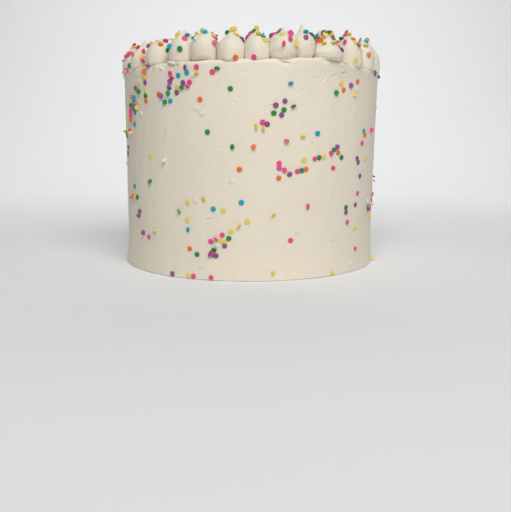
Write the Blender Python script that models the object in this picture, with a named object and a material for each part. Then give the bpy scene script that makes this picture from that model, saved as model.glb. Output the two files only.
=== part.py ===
# A tall round layer cake in pale buttercream: uncut, with a smooth side, a ring of piped dollops round the top edge
# and round confetti sprinkles that cling to both.
#
# Metres, +Z up. The origin is the middle of the flat bottom, and -Y is the front.
# The cake is one solid and each dollop is another. Every sprinkle is fused to the icing that it clings to.

import math
import random

import bmesh
import bpy
from mathutils import Matrix, Vector
from mathutils.bvhtree import BVHTree

# Driving dimensions of the cake
CAKE_RADIUS = 0.108
CAKE_HEIGHT = 0.1569
FOOT_FLARE = 0.002  # how far the icing spreads at the foot
FOOT_HEIGHT = 0.032
FOOT_ROUND = 0.0008
EDGE_ROUND = 0.003  # rounding of the top edge
TOP_LEAN = 0.0015  # the top has settled this far towards +X
TOP_RISE = 0.0004  # and it is this much higher at +X, and lower at -X
LIFT = 0.0027  # the top edge is pushed up at one place
LIFT_AZIMUTH = 29.0  # degrees from the front, to the right
LIFT_SPREAD = 14.0
CAKE_SIDES = 72

# Driving dimensions of the dollops
RING_RADIUS = 0.0987
BACK_DOLLOPS = 17
BACK_WIDTH = (0.0198, 0.0215)
BACK_HEIGHT = (0.0205, 0.0245)
DOLLOP_SIDES = 12
GAP = 0.0003  # between a dollop and what it touches

# A confetti sprinkle: a round flat disc
SPRINKLE_RADIUS = 0.002
SPRINKLE_THICKNESS = 0.001
SPRINKLE_SIDES = 6
SPRINKLE_RAISE = 0.0002  # height of its middle over the icing when it lies flat
STEEPEST_SPRINKLE = 62.0  # degrees
FLATNESS_ON_THE_SIDE = 1.6  # the higher, the fewer sprinkles stand on their edges
FLATNESS_ON_THE_CROWN = 1.1
REACH = 0.088  # a sprinkle thrown from outside lands no further in than this radius
CLOSEST_SPRINKLES = 0.0043
MOST_ON_A_DOLLOP = 3
SEED = 7

# Width of a dollop against its height, both as shares: a full foot and a belly that draws in to a peak, a rounder
# dome with a short peak, a body on a drawn-in foot under a long peak, a round ball on such a foot, or one that ends
# in a round knob where the icing fell back
POINTED = ((0, 0.86), (0.14, 0.97), (0.36, 0.99), (0.56, 0.84), (0.73, 0.53), (0.88, 0.22), (1, 0))
DOMED = ((0, 0.86), (0.14, 0.97), (0.36, 1.0), (0.56, 0.92), (0.71, 0.74), (0.86, 0.38), (1, 0))
PEAKED = ((0, 0.68), (0.12, 0.88), (0.34, 1.0), (0.54, 0.90), (0.66, 0.62), (0.80, 0.27), (1, 0))
BALLED = ((0, 0.68), (0.12, 0.88), (0.36, 1.0), (0.56, 0.94), (0.70, 0.73), (0.83, 0.33), (1, 0))
BLUNT = ((0, 0.86), (0.20, 1.0), (0.38, 0.84), (0.54, 0.67), (0.68, 0.58), (0.86, 0.50), (0.96, 0.28), (1, 0))

# The dollops that face the front, left to right: azimuth in degrees, width, height, and how far the peak leans
# to the right, in millimetres
FRONT_DOLLOPS = (
    (-72, 20.5, 22.8, -1.5, DOMED),
    (-58, 21.5, 21.0, 4.8, POINTED),
    (-43.7, 22.0, 19.8, 3.0, DOMED),
    (-30.6, 20.8, 23.2, 3.0, DOMED),
    (-19.6, 20.8, 22.8, 0.8, DOMED),
    (-8.3, 21.4, 21.4, 0.5, POINTED),
    (2, 19.8, 22.4, -0.2, POINTED),
    (12.8, 23.6, 22.3, 0.2, BALLED),
    (21.6, 18.0, 24.8, -1.4, PEAKED),
    (33.1, 25.2, 21.0, -1.0, BLUNT),
    (47.6, 22.0, 24.2, -1.0, DOMED),
    (60.8, 21.4, 23.8, 0.4, DOMED),
    (74.5, 20.8, 27.6, 0.8, POINTED),
)

# Trails of sprinkles, as they were thrown at the front: the first one's azimuth in degrees and height in millimetres,
# the way that the trail runs in degrees (0 to the right, 90 up), the distance between sprinkles in millimetres,
# and their colours in order: Pink, Orange, Yellow, Green, Blue, Violet and White. A space is a gap in the trail.
SIDE_TRAILS = (
    (-47, 155, 272, 3.45, "YOYV YGO"),
    (-44.5, 156.4, 0, 4.4, "V"),
    (-55, 142, 330, 3.6, "VOG"),
    (-60, 135.5, 262, 2.9, "OYGPPPO"),
    (-56.5, 134.5, 272, 2.7, "BBPGB"),
    (-53, 131, 250, 4.0, "YY"),
    (-69, 123, 200, 4.0, "Y"),
    (-63, 110, 330, 3.6, "OW"),
    (-75, 111, 325, 4.6, "YGG"),
    (-68, 97, 242, 5.1, "VGYY"),
    (-32, 149, 300, 3.2, "PP"),
    (-32, 143, 256, 4.2, "VVG"),
    (-38, 135, 330, 3.0, "OV"),
    (-35, 129, 8, 5.4, "GB"),
    (-28, 147, 10, 7.5, "BB"),
    (-25, 152, 0, 4.4, "V"),
    (-22, 146.5, 0, 4.4, "W"),
    (-20, 152, 270, 4.2, "PY"),
    (-14, 148, 37, 4.6, "PG"),
    (-26, 142, 0, 5.4, "VP"),
    (-24, 139, 182, 4.6, "PGY"),
    (-29, 135, 0, 4.4, "V"),
    (-19, 130, 16.5, 11.9, "O G"),
    (-20.3, 124.7, 320, 6.2, "WW"),
    (-52, 146, 0, 4.4, "W"),
    (-51, 122, 0, 4.4, "W"),
    (-57, 115, 0, 4.4, "B"),
    (-5.3, 157, 1, 12.8, "OP"),
    (13.3, 129, 204, 7.2, "VV"),
    (16.5, 125.5, 199, 7.8, "GG"),
    (9, 120, 350, 5.6, "GV"),
    (5, 114, 335, 2.8, "PV"),
    (2.5, 111, 345, 4.6, "YY"),
    (27, 107, 193, 12.8, "BYP"),
    (1.4, 97.4, 180, 14.6, "OG"),
    (-16, 107, 0, 4.4, "G"),
    (36.2, 97.3, 222, 3.6, "VGP"),
    (37.2, 93, 315, 5.4, "OG"),
    (30.3, 90.2, 189, 4.4, "YGP Y"),
    (11.2, 86, 272, 3.6, "PP"),
    (13.4, 81, 320, 5.0, "PV"),
    (18.4, 80, 8, 3.6, "PGO"),
    (35, 82, 0, 4.4, "P"),
    (11, 75, 0, 4.4, "O"),
    (-4, 81, 235, 9.8, "OW"),
    (15.3, 140.4, 0, 4.4, "B"),
    (38, 144, 295, 5.9, "YO"),
    (35.5, 136, 0, 4.4, "G"),
    (47.6, 146, 205, 4.4, "O V"),
    (46.1, 136, 45, 6.0, "YW"),
    (65.5, 155, 20, 3.2, "VG"),
    (79.5, 156.2, 0, 4.4, "V"),
    (84, 132, 0, 4.4, "G"),
    (55, 110, 300, 3.6, "BO"),
    (62.8, 111, 212, 10.0, "P P"),
    (49.8, 89, 300, 3.6, "VV"),
    (57, 88, 0, 4.4, "Y"),
    (52.8, 75, 0, 4.4, "V"),
    (84, 73, 262, 4.0, "VP  B"),
    (-44, 90, 0, 4.4, "Y"),
    (-36, 87, 0, 4.4, "W"),
    (-45, 71, 0, 4.4, "G"),
    (-59, 66, 0, 4.4, "B"),
    (-63, 57.8, 2, 4.3, "POYG"),
    (-54, 47, 262, 4.2, "VV"),
    (-51, 30, 345, 7.8, "VP"),
    (-42, 34, 0, 4.4, "Y"),
    (-29, 50, 0, 4.4, "G"),
    (-25, 57, 12, 6.6, "YWY"),
    (-14, 53, 352, 7.6, "BY"),
    (-3, 58, 0, 4.4, "B"),
    (-25, 44, 270, 6.8, "YB"),
    (-1, 44, 212, 6.6, "YYY"),
    (-10.5, 34, 210, 5.2, "PPP"),
    (-11.4, 29.5, 350, 3.2, "YY"),
    (-8, 32, 238, 6.6, "GV"),
    (-12.6, 26.4, 0, 4.4, "W"),
    (-14, 23, 240, 3.4, "GV"),
    (-15.8, 20, 345, 1.8, "VPVV"),
    (-24, 23, 325, 6.8, "OG"),
    (-19, 10, 0, 4.4, "W"),
    (-32, 2.4, 0, 4.6, "V  YP  P"),
    (9, 49, 0, 4.4, "Y"),
    (23, 54, 0, 4.4, "P"),
    (43, 52, 280, 4.2, "GV P"),
    (50, 53, 75, 9.2, "VP"),
    (50, 34, 0, 4.4, "Y"),
    (16, 30, 0, 4.4, "P"),
    (50.8, 18, 0, 4.4, "P"),
    (9, 6, 354, 24.7, "Y Y"),
    (19, 36, 347, 16.5, "W W"),
    (46.5, 7, 0, 4.4, "W"),
    (75, 2.3, 0, 4.4, "Y"),
    (72.8, 58, 250, 4.0, "PPY"),
    (63, 54, 285, 3.6, "WBV"),
    (66, 43, 35, 8.5, "YP"),
)

# The same for the dollops, where most sprinkles lie about the peaks
CROWN_TRAILS = (
    (-67.4, 161.3, 238, 4.4, "GP"),
    (-69.6, 169, 30, 2.6, "PP"),
    (-73, 176.5, 0, 4.6, "YY"),
    (-73.6, 179.2, 0, 2.0, "YP"),
    (-56, 166.6, 0, 4.4, "O"),
    (-55.6, 171.6, 0, 4.4, "P"),
    (-52.3, 168.3, 272, 3.5, "PYP"),
    (-44.9, 170, 75, 1.8, "VYY"),
    (-39.8, 174.2, 320, 2.0, "WP"),
    (-38.7, 170.1, 0, 4.4, "O"),
    (-32, 167, 225, 3.2, "BG"),
    (-32.4, 172, 0, 4.4, "Y"),
    (-29.8, 176.6, 285, 2.2, "YY"),
    (-27.4, 165.1, 0, 4.4, "G"),
    (-26.1, 171.9, 84, 2.6, "PB"),
    (-21.9, 172.1, 40, 2.8, "BY"),
    (-20.4, 171.6, 0, 4.4, "W"),
    (-19.4, 176.6, 335, 3.3, "YB"),
    (-14.7, 172.4, 284, 4.5, "YP"),
    (-12.4, 174, 0, 4.4, "O"),
    (-8.7, 174.8, 40, 4.0, "GY"),
    (-6.6, 177.4, 0, 4.4, "Y"),
    (-5.4, 174.2, 318, 2.5, "YYV"),
    (-3, 170, 30, 4.2, "VV"),
    (0.3, 174.8, 33, 2.6, "PGY"),
    (3.1, 172.9, 350, 3.3, "YB"),
    (5.3, 169.3, 13, 2.7, "YY"),
    (8, 174.4, 45, 3.2, "VP"),
    (11.6, 175.4, 55, 2.2, "GP"),
    (12.3, 173.7, 0, 4.4, "Y"),
    (12.4, 165.8, 0, 4.4, "P"),
    (16.6, 175.5, 215, 3.4, "PP"),
    (14.5, 170.3, 0, 4.4, "P"),
    (17.6, 167.1, 0, 4.4, "Y"),
    (22.5, 177.6, 240, 4.6, "BV"),
    (24.6, 174.6, 330, 3.2, "VG"),
    (28.6, 175.6, 0, 4.4, "B"),
    (30.7, 177.4, 0, 4.4, "V"),
    (30.1, 174, 265, 2.1, "OO"),
    (28.4, 171, 0, 4.4, "P"),
    (30.7, 176.2, 0, 4.4, "Y"),
    (30.2, 169.5, 0, 4.4, "Y"),
    (32.3, 177.8, 308, 1.9, "GYP"),
    (34.5, 173.3, 0, 4.4, "B"),
    (33.4, 170.9, 10, 4.0, "YO"),
    (38.9, 172.5, 0, 4.4, "O"),
    (44.8, 181.8, 60, 1.8, "PP"),
    (47.2, 180.6, 0, 4.4, "Y"),
    (43.2, 173.1, 212, 5.2, "PP"),
    (37.4, 166, 0, 4.4, "V"),
    (46.2, 176, 285, 2.4, "OY"),
    (45.9, 160.8, 0, 4.4, "Y"),
    (47.2, 171.7, 0, 4.4, "V"),
    (59, 183, 0, 4.4, "B"),
    (58, 180, 0, 4.4, "O"),
    (58.1, 174.4, 220, 4.4, "YW"),
    (61.7, 178.4, 0, 4.4, "B"),
    (57.8, 167.3, 0, 4.4, "O"),
    (76.5, 185.5, 0, 4.4, "O"),
    (79, 181.5, 0, 4.4, "P"),
    (42.5, 178.5, 0, 4.4, "G"),
)

# Out of the front's sight, trails and sprinkles fall by the same habits, with these counts and shares
BACK_TRAILS = 12
BACK_TRAIL_LENGTH = (2, 6)
BACK_SPACING = (3.8, 8.5)
BACK_AZIMUTH = (92, 268)
ON_EACH_BACK_DOLLOP = 2
ON_EACH_FRONT_DOLLOP = 1
ON_THE_TOP = 9
COLOURS = "PPPPOOOYYYYGGGBBVVVW"


def clear_scene():
    for thing in list(bpy.data.objects):
        bpy.data.objects.remove(thing, do_unlink=True)


def icing_material(name, tint):
    """Buttercream: pale cream, soft and a little waxy."""
    material = bpy.data.materials.new(name)
    material.use_nodes = True
    shader = material.node_tree.nodes["Principled BSDF"]
    shader.inputs["Base Color"].default_value = (*tint, 1.0)
    shader.inputs["Roughness"].default_value = 0.55
    shader.inputs["Metallic"].default_value = 0.0
    material.diffuse_color = (*tint, 1.0)
    return material


def new_object(name, shape, material):
    """An object of a bmesh, which is then freed. Its round parts are shaded smooth."""
    bmesh.ops.recalc_face_normals(shape, faces=shape.faces)
    mesh = bpy.data.meshes.new(name)
    shape.to_mesh(mesh)
    shape.free()
    mesh.materials.append(material)
    mesh.shade_smooth()
    mesh.set_sharp_from_angle(angle=math.radians(40))
    thing = bpy.data.objects.new(name, mesh)
    bpy.context.scene.collection.objects.link(thing)
    return thing


def turned(profile, sides):
    """A closed body of revolution about Z. The profile runs from the axis, below, to the axis, above."""
    shape = bmesh.new()
    points = [shape.verts.new((radius, 0, height)) for radius, height in profile]
    edges = [shape.edges.new(pair) for pair in zip(points, points[1:])]
    bmesh.ops.spin(
        shape, geom=points + edges, cent=(0, 0, 0), axis=(0, 0, 1), angle=math.tau, steps=sides, use_merge=True
    )
    bmesh.ops.remove_doubles(shape, verts=shape.verts, dist=1e-6)
    return shape


def rise(x, y):
    """How much higher than level the top is there: it tilts a little, and its edge is pushed up at one place."""
    azimuth = math.degrees(math.atan2(x, -y))
    pushed = math.exp(-(((azimuth - LIFT_AZIMUTH) / LIFT_SPREAD) ** 2))
    return (TOP_RISE * x + LIFT * pushed * math.hypot(x, y)) / CAKE_RADIUS


def settled(point):
    """Where a point of the true upright cake lies in this one, which leans a little and has an uneven top."""
    share = min(1.0, point.z / CAKE_HEIGHT)
    return Vector((point.x + TOP_LEAN * share, point.y, point.z + rise(point.x, point.y) * share))


def around(azimuth, radius, height):
    """The point at that azimuth in degrees, counted from the front to the right."""
    angle = math.radians(azimuth)
    return Vector((radius * math.sin(angle), -radius * math.cos(angle), height))


def side_radius(height):
    """Radius of the icing at a height: straight, with a soft flare at the foot."""
    share = max(0.0, 1 - height / FOOT_HEIGHT)
    return CAKE_RADIUS + FOOT_FLARE * share**2


def cake_shape():
    foot = [(side_radius(height), height) for height in (FOOT_ROUND, FOOT_HEIGHT * 0.3, FOOT_HEIGHT)]
    corner = CAKE_RADIUS - EDGE_ROUND
    edge = [
        (
            corner + EDGE_ROUND * math.cos(turn * math.pi / 4),
            CAKE_HEIGHT - EDGE_ROUND + EDGE_ROUND * math.sin(turn * math.pi / 4),
        )
        for turn in (0, 1, 2)
    ]
    bottom = side_radius(0) - FOOT_ROUND
    shape = turned([(0, 0), (bottom, 0), *foot, *edge, (0, CAKE_HEIGHT)], CAKE_SIDES)
    for vertex in shape.verts:
        vertex.co = settled(vertex.co)
    return shape


def dollop_layout():
    """Every dollop as (azimuth, width, height, lean of the peak, profile, limits), with the azimuths where it meets
    its two neighbours as the limits."""
    draws = random.Random(SEED)
    row = [(azimuth, width / 1000, height / 1000, lean / 1000, form)
           for azimuth, width, height, lean, form in FRONT_DOLLOPS]
    first, last = row[0][0] + 360, row[-1][0]
    step = (first - last) / (BACK_DOLLOPS + 1)
    for number in range(1, BACK_DOLLOPS + 1):
        azimuth = last + step * (number + draws.uniform(-0.08, 0.08))
        width, height = draws.uniform(*BACK_WIDTH), draws.uniform(*BACK_HEIGHT)
        form = draws.choice((POINTED, DOMED, POINTED, DOMED, PEAKED, DOMED, BLUNT))
        row.append((azimuth, width, height, draws.uniform(-0.0025, 0.0025), form))
    laid = []
    for number, (azimuth, width, height, lean, form) in enumerate(row):
        before, after = row[number - 1], row[(number + 1) % len(row)]
        back = (azimuth - before[0]) % 360 * width / (width + before[1])
        forth = (after[0] - azimuth) % 360 * width / (width + after[1])
        laid.append((azimuth, width, height, lean, form, (azimuth - back, azimuth + forth)))
    return laid


def dollop_shape(azimuth, width, height, lean, form, limits):
    """One piped kiss of icing, pressed flat where it meets its neighbours."""
    profile = [(0, 0)] + [(share * width / 2, level * height) for level, share in form]
    shape = turned(profile, DOLLOP_SIDES)
    low, high = (math.tan(math.radians(limit - azimuth)) for limit in limits)
    stand = Matrix.Translation(around(azimuth, RING_RADIUS, CAKE_HEIGHT + GAP))
    stand @= Matrix.Rotation(math.radians(azimuth), 4, "Z")
    for vertex in shape.verts:
        point = vertex.co
        point.x += lean * (point.z / height) ** 2
        from_axis = RING_RADIUS - point.y
        point.x = min(max(point.x, from_axis * low + GAP / 2), from_axis * high - GAP / 2)
        vertex.co = settled(stand @ point)
    return shape


def trail_places(trails, draws):
    """(azimuth, height in metres, colour) of each sprinkle of some trails, none in quite a straight line."""
    for azimuth, height, heading, spacing, colours in trails:
        for step, colour in enumerate(colours):
            along = step * spacing / 1000
            across = along * math.cos(math.radians(heading)) + draws.uniform(-0.0004, 0.0004)
            up = along * math.sin(math.radians(heading)) + draws.uniform(-0.0004, 0.0004)
            if colour != " ":
                yield azimuth + math.degrees(across / CAKE_RADIUS), height / 1000 + up, colour


def back_trails(draws):
    """Trails round the back, thicker towards the top as at the front."""
    for _ in range(BACK_TRAILS):
        azimuth = draws.uniform(*BACK_AZIMUTH)
        height = 150 - 140 * draws.random() ** 1.4
        heading = draws.choice((200, 230, 265, 275, 300, 340))
        colours = "".join(draws.choice(COLOURS) for _ in range(draws.randint(*BACK_TRAIL_LENGTH)))
        yield azimuth, height, heading, draws.uniform(*BACK_SPACING), colours


def lie_of(flatness, draws):
    """How a sprinkle lies: its slope, which way that slope faces and how far it is turned, in radians."""
    steep = math.radians(STEEPEST_SPRINKLE) * draws.random() ** flatness
    return steep, draws.uniform(0, math.tau), draws.uniform(0, math.tau)


def throws(layout):
    """Every sprinkle as it is thrown: (way, azimuth, height or radius, how it lies). The way is level, from outside
    and straight at the axis, or down from above."""
    draws = random.Random(SEED + 1)
    for trails, flatness in (
        (SIDE_TRAILS, FLATNESS_ON_THE_SIDE),
        (CROWN_TRAILS, FLATNESS_ON_THE_CROWN),
        (list(back_trails(draws)), FLATNESS_ON_THE_SIDE),
    ):
        for azimuth, height, _ in trail_places(trails, draws):
            yield "level", azimuth, max(height, 1.15 * SPRINKLE_RADIUS), lie_of(flatness, draws)
    for number, (azimuth, width, *_) in enumerate(layout):
        front = number < len(FRONT_DOLLOPS)
        for _ in range(ON_EACH_FRONT_DOLLOP if front else ON_EACH_BACK_DOLLOP):
            inward = draws.uniform(0.05, 0.36) if front else draws.uniform(-0.36, 0.36)
            aside = math.degrees(draws.uniform(-0.34, 0.34) * width / RING_RADIUS)
            lie = lie_of(FLATNESS_ON_THE_CROWN, draws)
            yield "down", azimuth + aside, RING_RADIUS - inward * width, lie
    for _ in range(ON_THE_TOP):
        radius = draws.uniform(0.25, 0.98) * (RING_RADIUS - 0.016)
        yield "down", draws.uniform(0, 360), radius, lie_of(FLATNESS_ON_THE_SIDE, draws)


class Icing:
    """The bare surfaces that sprinkles land on, and the node of each."""

    def __init__(self, shapes):
        self.trees = [(name, BVHTree.FromBMesh(shape)) for name, shape in shapes]

    def landed(self, way, azimuth, distance):
        """(node, point, normal) where a throw meets the icing. One that flies between two peaks sticks to the nearer."""
        start, aim = around(azimuth, 2 * CAKE_RADIUS, distance), around(azimuth, -1, 0)
        if way == "down":
            start, aim = around(azimuth, distance, 2 * CAKE_HEIGHT), Vector((0, 0, -1))
        hits = []
        for name, tree in self.trees:
            point, normal, _, away = tree.ray_cast(start, aim)
            if point is not None:
                hits.append((away, name, point, normal))
        if way == "level" and (not hits or min(hits)[0] > 2 * CAKE_RADIUS - REACH):
            hits.clear()
            for name, tree in self.trees:
                point, normal, _, away = tree.find_nearest(around(azimuth, RING_RADIUS, distance))
                hits.append((away, name, point, normal))
        return min(hits)[1:]


def sprinkle_matrix(point, normal, lie):
    """Where a sprinkle lies that clings at a point: mostly flat on the icing, now and then on its edge."""
    steep, facing, turn = lie
    raised = SPRINKLE_RAISE + 0.45 * SPRINKLE_RADIUS * math.sin(steep)
    flat = normal.to_track_quat("Z", "Y").to_matrix().to_4x4()
    tip = Matrix.Rotation(facing, 4, "Z") @ Matrix.Rotation(steep, 4, "X") @ Matrix.Rotation(turn, 4, "Z")
    return Matrix.Translation(point + normal * raised) @ flat @ tip


def corners(matrix):
    """The corners of a sprinkle's prism."""
    for level in (-0.5, 0.5):
        for side in range(SPRINKLE_SIDES):
            angle = math.tau * side / SPRINKLE_SIDES
            flat = SPRINKLE_RADIUS * math.cos(angle), SPRINKLE_RADIUS * math.sin(angle)
            yield matrix @ Vector((*flat, level * SPRINKLE_THICKNESS))


def is_clear(node, matrix, dollops):
    """Whether a sprinkle keeps off the other nodes and above the surface that the cake stands on."""
    for corner in corners(matrix):
        if node == "cake":
            beyond = math.hypot(corner.x - TOP_LEAN, corner.y)
            inside = beyond < RING_RADIUS - 0.0125
            if corner.z < 0.0002 or (corner.z > CAKE_HEIGHT + rise(corner.x, corner.y) - 3 * GAP and not inside):
                return False
            continue
        low, high = dollops[node][5]
        middle = (low + high) / 2
        azimuth = math.degrees(math.atan2(corner.x - TOP_LEAN, -corner.y))
        apart = (azimuth - middle + 180) % 360 - 180
        margin = math.degrees(GAP / RING_RADIUS)
        foot = CAKE_HEIGHT + rise(corner.x, corner.y) + 3 * GAP
        if abs(apart) > (high - low) / 2 - margin or corner.z < foot:
            return False
    return True


def fused_sprinkles(icing, layout, dollops):
    """The sprinkles to fuse, node by node: those clear of other nodes and not heaped on one another."""
    chosen = {}
    for way, azimuth, distance, lie in throws(layout):
        node, point, normal = icing.landed(way, azimuth, distance)
        kept = chosen.setdefault(node, [])
        matrix = sprinkle_matrix(point, normal, lie)
        crowded = any((point - other).length < CLOSEST_SPRINKLES for other, _ in kept)
        full = node != "cake" and len(kept) >= MOST_ON_A_DOLLOP
        if not crowded and not full and is_clear(node, matrix, dollops):
            kept.append((point, matrix))
    return chosen


def fuse_sprinkles(thing, places, material):
    """Joins sprinkles to an object by one Boolean union on a collection, and removes the collection's objects."""
    if not places:
        return
    group = bpy.data.collections.new("sprinkles on " + thing.name)
    bpy.context.scene.collection.children.link(group)
    for _, matrix in places:
        disc = bmesh.new()
        bmesh.ops.create_cone(
            disc, cap_ends=True, segments=SPRINKLE_SIDES,
            radius1=SPRINKLE_RADIUS, radius2=SPRINKLE_RADIUS, depth=SPRINKLE_THICKNESS, matrix=matrix,
        )
        piece = new_object("sprinkle", disc, material)
        bpy.context.scene.collection.objects.unlink(piece)
        group.objects.link(piece)
    union = thing.modifiers.new("sprinkles", "BOOLEAN")
    union.operation = "UNION"
    union.operand_type = "COLLECTION"
    union.collection = group
    union.solver = "EXACT"
    bpy.context.view_layer.update()
    joined = thing.evaluated_get(bpy.context.evaluated_depsgraph_get())
    bare = thing.data
    thing.data = bpy.data.meshes.new_from_object(joined)
    thing.data.name = bare.name
    thing.modifiers.clear()
    for piece in list(group.objects):
        bpy.data.objects.remove(piece, do_unlink=True)
    bpy.data.collections.remove(group)
    bpy.data.meshes.remove(bare)


def main():
    clear_scene()
    coat = icing_material("smooth buttercream", (0.84, 0.77, 0.64))
    piped = icing_material("piped buttercream", (0.85, 0.78, 0.65))
    layout = dollop_layout()
    names = [f"dollop_{number:02d}" for number in range(1, len(layout) + 1)]
    dollops = dict(zip(names, layout))

    shapes = [("cake", cake_shape())]
    shapes += [(name, dollop_shape(*dollop)) for name, dollop in dollops.items()]
    for _, shape in shapes:
        bmesh.ops.recalc_face_normals(shape, faces=shape.faces)
    chosen = fused_sprinkles(Icing(shapes), layout, dollops)

    for name, shape in shapes:
        material = coat if name == "cake" else piped
        thing = new_object(name, shape, material)
        fuse_sprinkles(thing, chosen.get(name), material)


main()
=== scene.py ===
import math
import random

import bmesh
import bpy
from mathutils import Matrix, Vector, noise
from mathutils.bvhtree import BVHTree


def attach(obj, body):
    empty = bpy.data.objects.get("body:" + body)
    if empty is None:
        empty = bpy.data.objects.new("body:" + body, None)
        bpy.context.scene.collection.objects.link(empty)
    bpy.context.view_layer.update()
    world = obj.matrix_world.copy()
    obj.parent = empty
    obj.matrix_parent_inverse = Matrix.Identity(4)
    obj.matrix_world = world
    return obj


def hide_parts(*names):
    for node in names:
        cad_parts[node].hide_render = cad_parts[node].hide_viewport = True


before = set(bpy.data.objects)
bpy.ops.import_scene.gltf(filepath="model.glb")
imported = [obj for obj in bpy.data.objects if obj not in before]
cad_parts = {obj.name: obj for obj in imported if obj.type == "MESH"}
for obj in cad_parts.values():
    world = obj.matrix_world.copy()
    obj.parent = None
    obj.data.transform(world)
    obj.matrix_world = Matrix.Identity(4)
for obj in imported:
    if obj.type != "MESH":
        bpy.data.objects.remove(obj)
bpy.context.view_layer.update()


# camera: it looks a little down at the cake, from just above its middle

viewPoint = {"distance": 0.5183, "height": 0.0938, "down": 10.354, "right": 0.61, "roll": 0.17, "lens": 40.17}


def addCamera():
    bpy.ops.object.camera_add(location=(0, -viewPoint["distance"], viewPoint["height"]))
    camera = bpy.context.active_object
    aim = Matrix.Rotation(math.radians(-viewPoint["right"]), 3, "Z")
    aim @= Matrix.Rotation(math.radians(90 - viewPoint["down"]), 3, "X")
    aim @= Matrix.Rotation(math.radians(viewPoint["roll"]), 3, "Z")
    camera.rotation_euler = aim.to_euler()
    camera.data.lens = viewPoint["lens"]
    camera.data.clip_start = 0.01
    bpy.context.scene.camera = camera


addCamera()
print("camera placed")


# shader sums: a Wire is a node's output that Python sums work on, and a Finish is a material

class Wire:
    def __init__(self, finish, socket):
        self.finish, self.socket = finish, socket

    def sum(self, operation, *terms):
        return self.finish.node("ShaderNodeMath", {"operation": operation}, dict(enumerate(terms)))

    def __add__(self, other):
        return self.sum("ADD", self, other)

    def __radd__(self, other):
        return self.sum("ADD", other, self)

    def __mul__(self, other):
        return self.sum("MULTIPLY", self, other)

    def __rmul__(self, other):
        return self.sum("MULTIPLY", other, self)


class Finish:
    def __init__(self, name, **fixed):
        self.material = bpy.data.materials.new(name)
        self.material.use_nodes = True
        self.tree = self.material.node_tree
        self.shader = self.tree.nodes["Principled BSDF"]
        for socket, value in fixed.items():
            self.shader.inputs[socket.replace("_", " ")].default_value = value
        self.place = self.node("ShaderNodeTexCoord", output="Object")

    # adds a node, sets its settings and then its sockets, and gives back one output
    def node(self, kind, settings=None, sockets=None, output=0):
        made = self.tree.nodes.new(kind)
        for setting, value in (settings or {}).items():
            if setting == "stops":
                self.setStops(made.color_ramp, value)
            else:
                setattr(made, setting, value)
        for socket, value in (sockets or {}).items():
            self.plug(made.inputs[socket], value)
        return Wire(self, made.outputs[output])

    def setStops(self, ramp, stops):
        while len(ramp.elements) < len(stops):
            ramp.elements.new(1.0)
        for element, (position, shade) in zip(ramp.elements, stops):
            element.position = position
            element.color = (shade, shade, shade, 1) if isinstance(shade, (int, float)) else (*shade, 1)

    def plug(self, socket, value):
        if isinstance(value, Wire):
            self.tree.links.new(value.socket, socket)
        else:
            socket.default_value = value

    def feed(self, socket, value):
        self.plug(self.shader.inputs[socket], value)

    # the object's own place, for a pattern that is stretched along its own axes and then turned
    def mapped(self, stretch=(1, 1, 1), turn=(0, 0, 0)):
        sockets = {"Vector": self.place, "Scale": stretch, "Rotation": turn}
        return self.node("ShaderNodeMapping", {"vector_type": "TEXTURE"}, sockets)

    def noise(self, size, detail=2.0, rough=0.5, at=None):
        sockets = {"Vector": at or self.place, "Scale": 1 / size, "Detail": detail, "Roughness": rough}
        return self.node("ShaderNodeTexNoise", None, sockets)

    def ramp(self, value, *stops):
        return self.node("ShaderNodeValToRGB", {"stops": stops}, {"Fac": value})

    # the first colour where the share is 0 and the second where it is 1: each is three numbers or a Wire
    def blend(self, share, *colours):
        first, second = (colour if isinstance(colour, Wire) else (*colour, 1) for colour in colours)
        sockets = {"Factor": share, 6: first, 7: second}
        return self.node("ShaderNodeMix", {"data_type": "RGBA"}, sockets, output=2)

    # 1 on the icing and 0 in a small air hole: one in most cells of that size, in some parts only. It shapes
    #                                           the holes' bumps and where their painted shade goes
    def airHoles(self, cell, radius):
        away = self.node("ShaderNodeTexVoronoi", {"feature": "F1"}, {"Vector": self.place, "Scale": 1 / cell})
        bare = self.ramp(self.noise(0.03, 1), (0.47, 0.0), (0.56, 0.05))
        return self.ramp(away + bare, (0.45 * radius / cell, 0.0), (radius / cell, 1.0))

    def bump(self, height, depth, strength=1.0, under=None):
        sockets = {"Height": height, "Distance": depth, "Strength": strength}
        if under:
            sockets["Normal"] = under
        return self.node("ShaderNodeBump", None, sockets)


# how far red, green and blue light spread in the icing, against one another
lightSpread = (1.0, 0.72, 0.42)

scrapedCoat = {
    "pale": (0.875, 0.805, 0.672),
    "deep": (0.835, 0.757, 0.612),
    # painted shade: a darker colour for the inside of the air holes
    "pit": (0.76, 0.675, 0.53),
    "scratchTurn": math.radians(56),  # the scraper was drawn up and round
    "drawnTurn": math.radians(12),
}


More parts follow.
